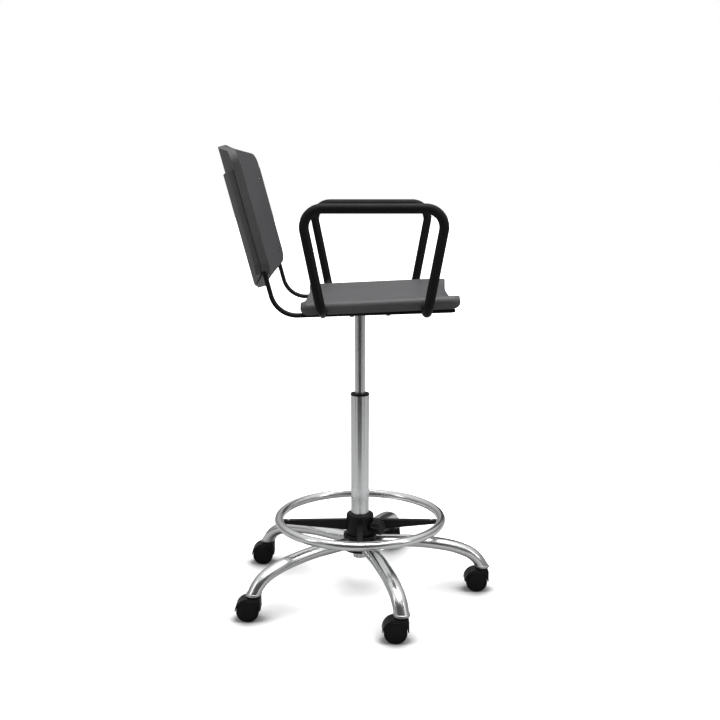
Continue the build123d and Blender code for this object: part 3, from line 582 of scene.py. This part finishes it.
def make_floor():
    """A pale sheet that runs out to white, brighter to the camera than to the chair.

    Camera rays from any side see a lighter grey and a glow that grows away from the chair.
    Occlusion near the chair darkens both, which deepens the shadows at the casters.
    """
    r = FLOOR_REACH
    floor = make_plane("floor", [(-r, -r, 0), (r, -r, 0), (r, r, 0), (-r, r, 0)])
    shader = Shader("floor_paper", (FLOOR_GREY, FLOOR_GREY, FLOOR_GREY), 0.9,
                    Specular_IOR_Level=0.0, Emission_Color=WHITE)
    seen = shader.tree.nodes.new("ShaderNodeLightPath").outputs["Is Camera Ray"]
    # Painted shadow: ambient occlusion darkens the floor's colour and its glow near the chair, most round
    # the casters.
    near = shader.tree.nodes.new("ShaderNodeAmbientOcclusion")
    near.samples = 16
    near.inputs["Distance"].default_value = SHADOW_REACH
    painted_shadow = shader.ramp(near.outputs["AO"], (0.60, 0.93, 0.995), (0.25, 0.80, 1.0))
    shader.colour(shader.product(shader.ramp(seen, (0.0, 1.0), (FLOOR_GREY, FLOOR_SEEN_GREY)), painted_shadow))
    distance = shader.tree.nodes.new("ShaderNodeVectorMath")
    distance.operation = "LENGTH"
    shader.link(shader.place, distance.inputs[0])
    span = shader.tree.nodes.new("ShaderNodeMath")
    span.operation = "DIVIDE"
    span.inputs[1].default_value = GLOW_SPAN
    shader.link(distance.outputs["Value"], span.inputs[0])
    glow = shader.product(shader.ramp(span.outputs[0], (0.1, 0.4), (FLOOR_GLOW, 1.0)), painted_shadow)
    strength = shader.tree.nodes.new("ShaderNodeMath")
    strength.operation = "MULTIPLY"
    shader.link(glow, strength.inputs[0])
    shader.link(seen, strength.inputs[1])
    shader.link(strength.outputs[0], shader.bsdf.inputs["Emission Strength"])
    floor.data.materials.append(shader.material)


def area_light(name, place, target, width, depth, power):
    data = bpy.data.lights.new(name, "AREA")
    data.shape = "RECTANGLE"
    data.size, data.size_y, data.energy = width, depth, power
    light = bpy.data.objects.new(name, data)
    bpy.context.scene.collection.objects.link(light)
    light.location = place
    direction = Vector(target) - Vector(place)
    light.rotation_euler = direction.to_track_quat("-Z", "Y").to_euler()


def flag(name, azimuth_deg, distance, foot_width, top_width, height, level):
    """A grey card that only reflections see, standing on the floor at this azimuth."""
    azimuth = math.radians(azimuth_deg)
    middle = Vector((math.cos(azimuth), math.sin(azimuth), 0.0)) * distance
    across = Vector((-math.sin(azimuth), math.cos(azimuth), 0.0)) / 2
    up = Vector((0.0, 0.0, height))
    foot, top = across * foot_width, across * top_width
    corners = [middle - foot, middle + foot, middle + top + up, middle - top + up]
    card = make_plane(name, [tuple(c) for c in corners])
    shader = Shader(name, (0.0, 0.0, 0.0), 0.9, Emission_Color=WHITE, Emission_Strength=level)
    card.data.materials.append(shader.material)
    card.visible_camera = False
    card.visible_diffuse = False
    card.visible_shadow = False


def make_world():
    """A white room to the camera, and a soft dome, darker towards the horizon, to the chair."""
    world = bpy.data.worlds.new("studio")
    bpy.context.scene.world = world
    world.use_nodes = True
    tree = world.node_tree
    background = tree.nodes["Background"]
    place = tree.nodes.new("ShaderNodeTexCoord")
    split = tree.nodes.new("ShaderNodeSeparateXYZ")
    ramp = tree.nodes.new("ShaderNodeValToRGB")
    stops = ((0.0, 0.17), (0.25, 0.30), (1.0, 1.05))
    elements = ramp.color_ramp.elements
    elements.new(0.5)
    for element, (stop, level) in zip(elements, stops):
        element.position = stop
        element.color = (level, level, level, 1.0)
    path = tree.nodes.new("ShaderNodeLightPath")
    mix = tree.nodes.new("ShaderNodeMix")
    mix.data_type = "RGBA"
    mix.inputs[MIX_SECOND].default_value = WHITE
    tree.links.new(place.outputs["Generated"], split.inputs["Vector"])
    tree.links.new(split.outputs["Z"], ramp.inputs["Fac"])
    tree.links.new(ramp.outputs["Color"], mix.inputs[MIX_FIRST])
    tree.links.new(path.outputs["Is Camera Ray"], mix.inputs["Factor"])
    tree.links.new(mix.outputs[MIX_RESULT], background.inputs["Color"])


def make_lights():
    area_light("key_overhead", place=(-0.3, -0.2, 3.0), target=(0.0, 0.0, 0.6),
               width=2.4, depth=2.4, power=73.0)
    area_light("front_strip", place=(-1.6, -2.6, 1.9), target=(0.0, 0.0, 0.7),
               width=0.7, depth=2.0, power=14.0)
    area_light("rear_strip", place=(-1.2, 2.8, 1.9), target=(0.0, 0.0, 0.7),
               width=0.7, depth=2.0, power=9.0)


def make_flags():
    flag("flag_camera", 177.0, distance=1.25, foot_width=1.10, top_width=3.4, height=1.4, level=0.04)
    flag("flag_front", 232.0, distance=1.7, foot_width=0.30, top_width=0.45, height=2.2, level=0.03)
    flag("flag_rear", 122.0, distance=1.8, foot_width=0.20, top_width=0.30, height=2.2, level=0.03)
    flag("flag_far", 335.0, distance=1.9, foot_width=0.75, top_width=0.75, height=2.4, level=0.02)


def make_studio():
    make_camera()
    make_floor()
    make_world()
    make_lights()
    make_flags()
    bpy.context.scene.view_settings.view_transform = "Standard"


dress_cad_nodes()
add_pieces()
make_studio()
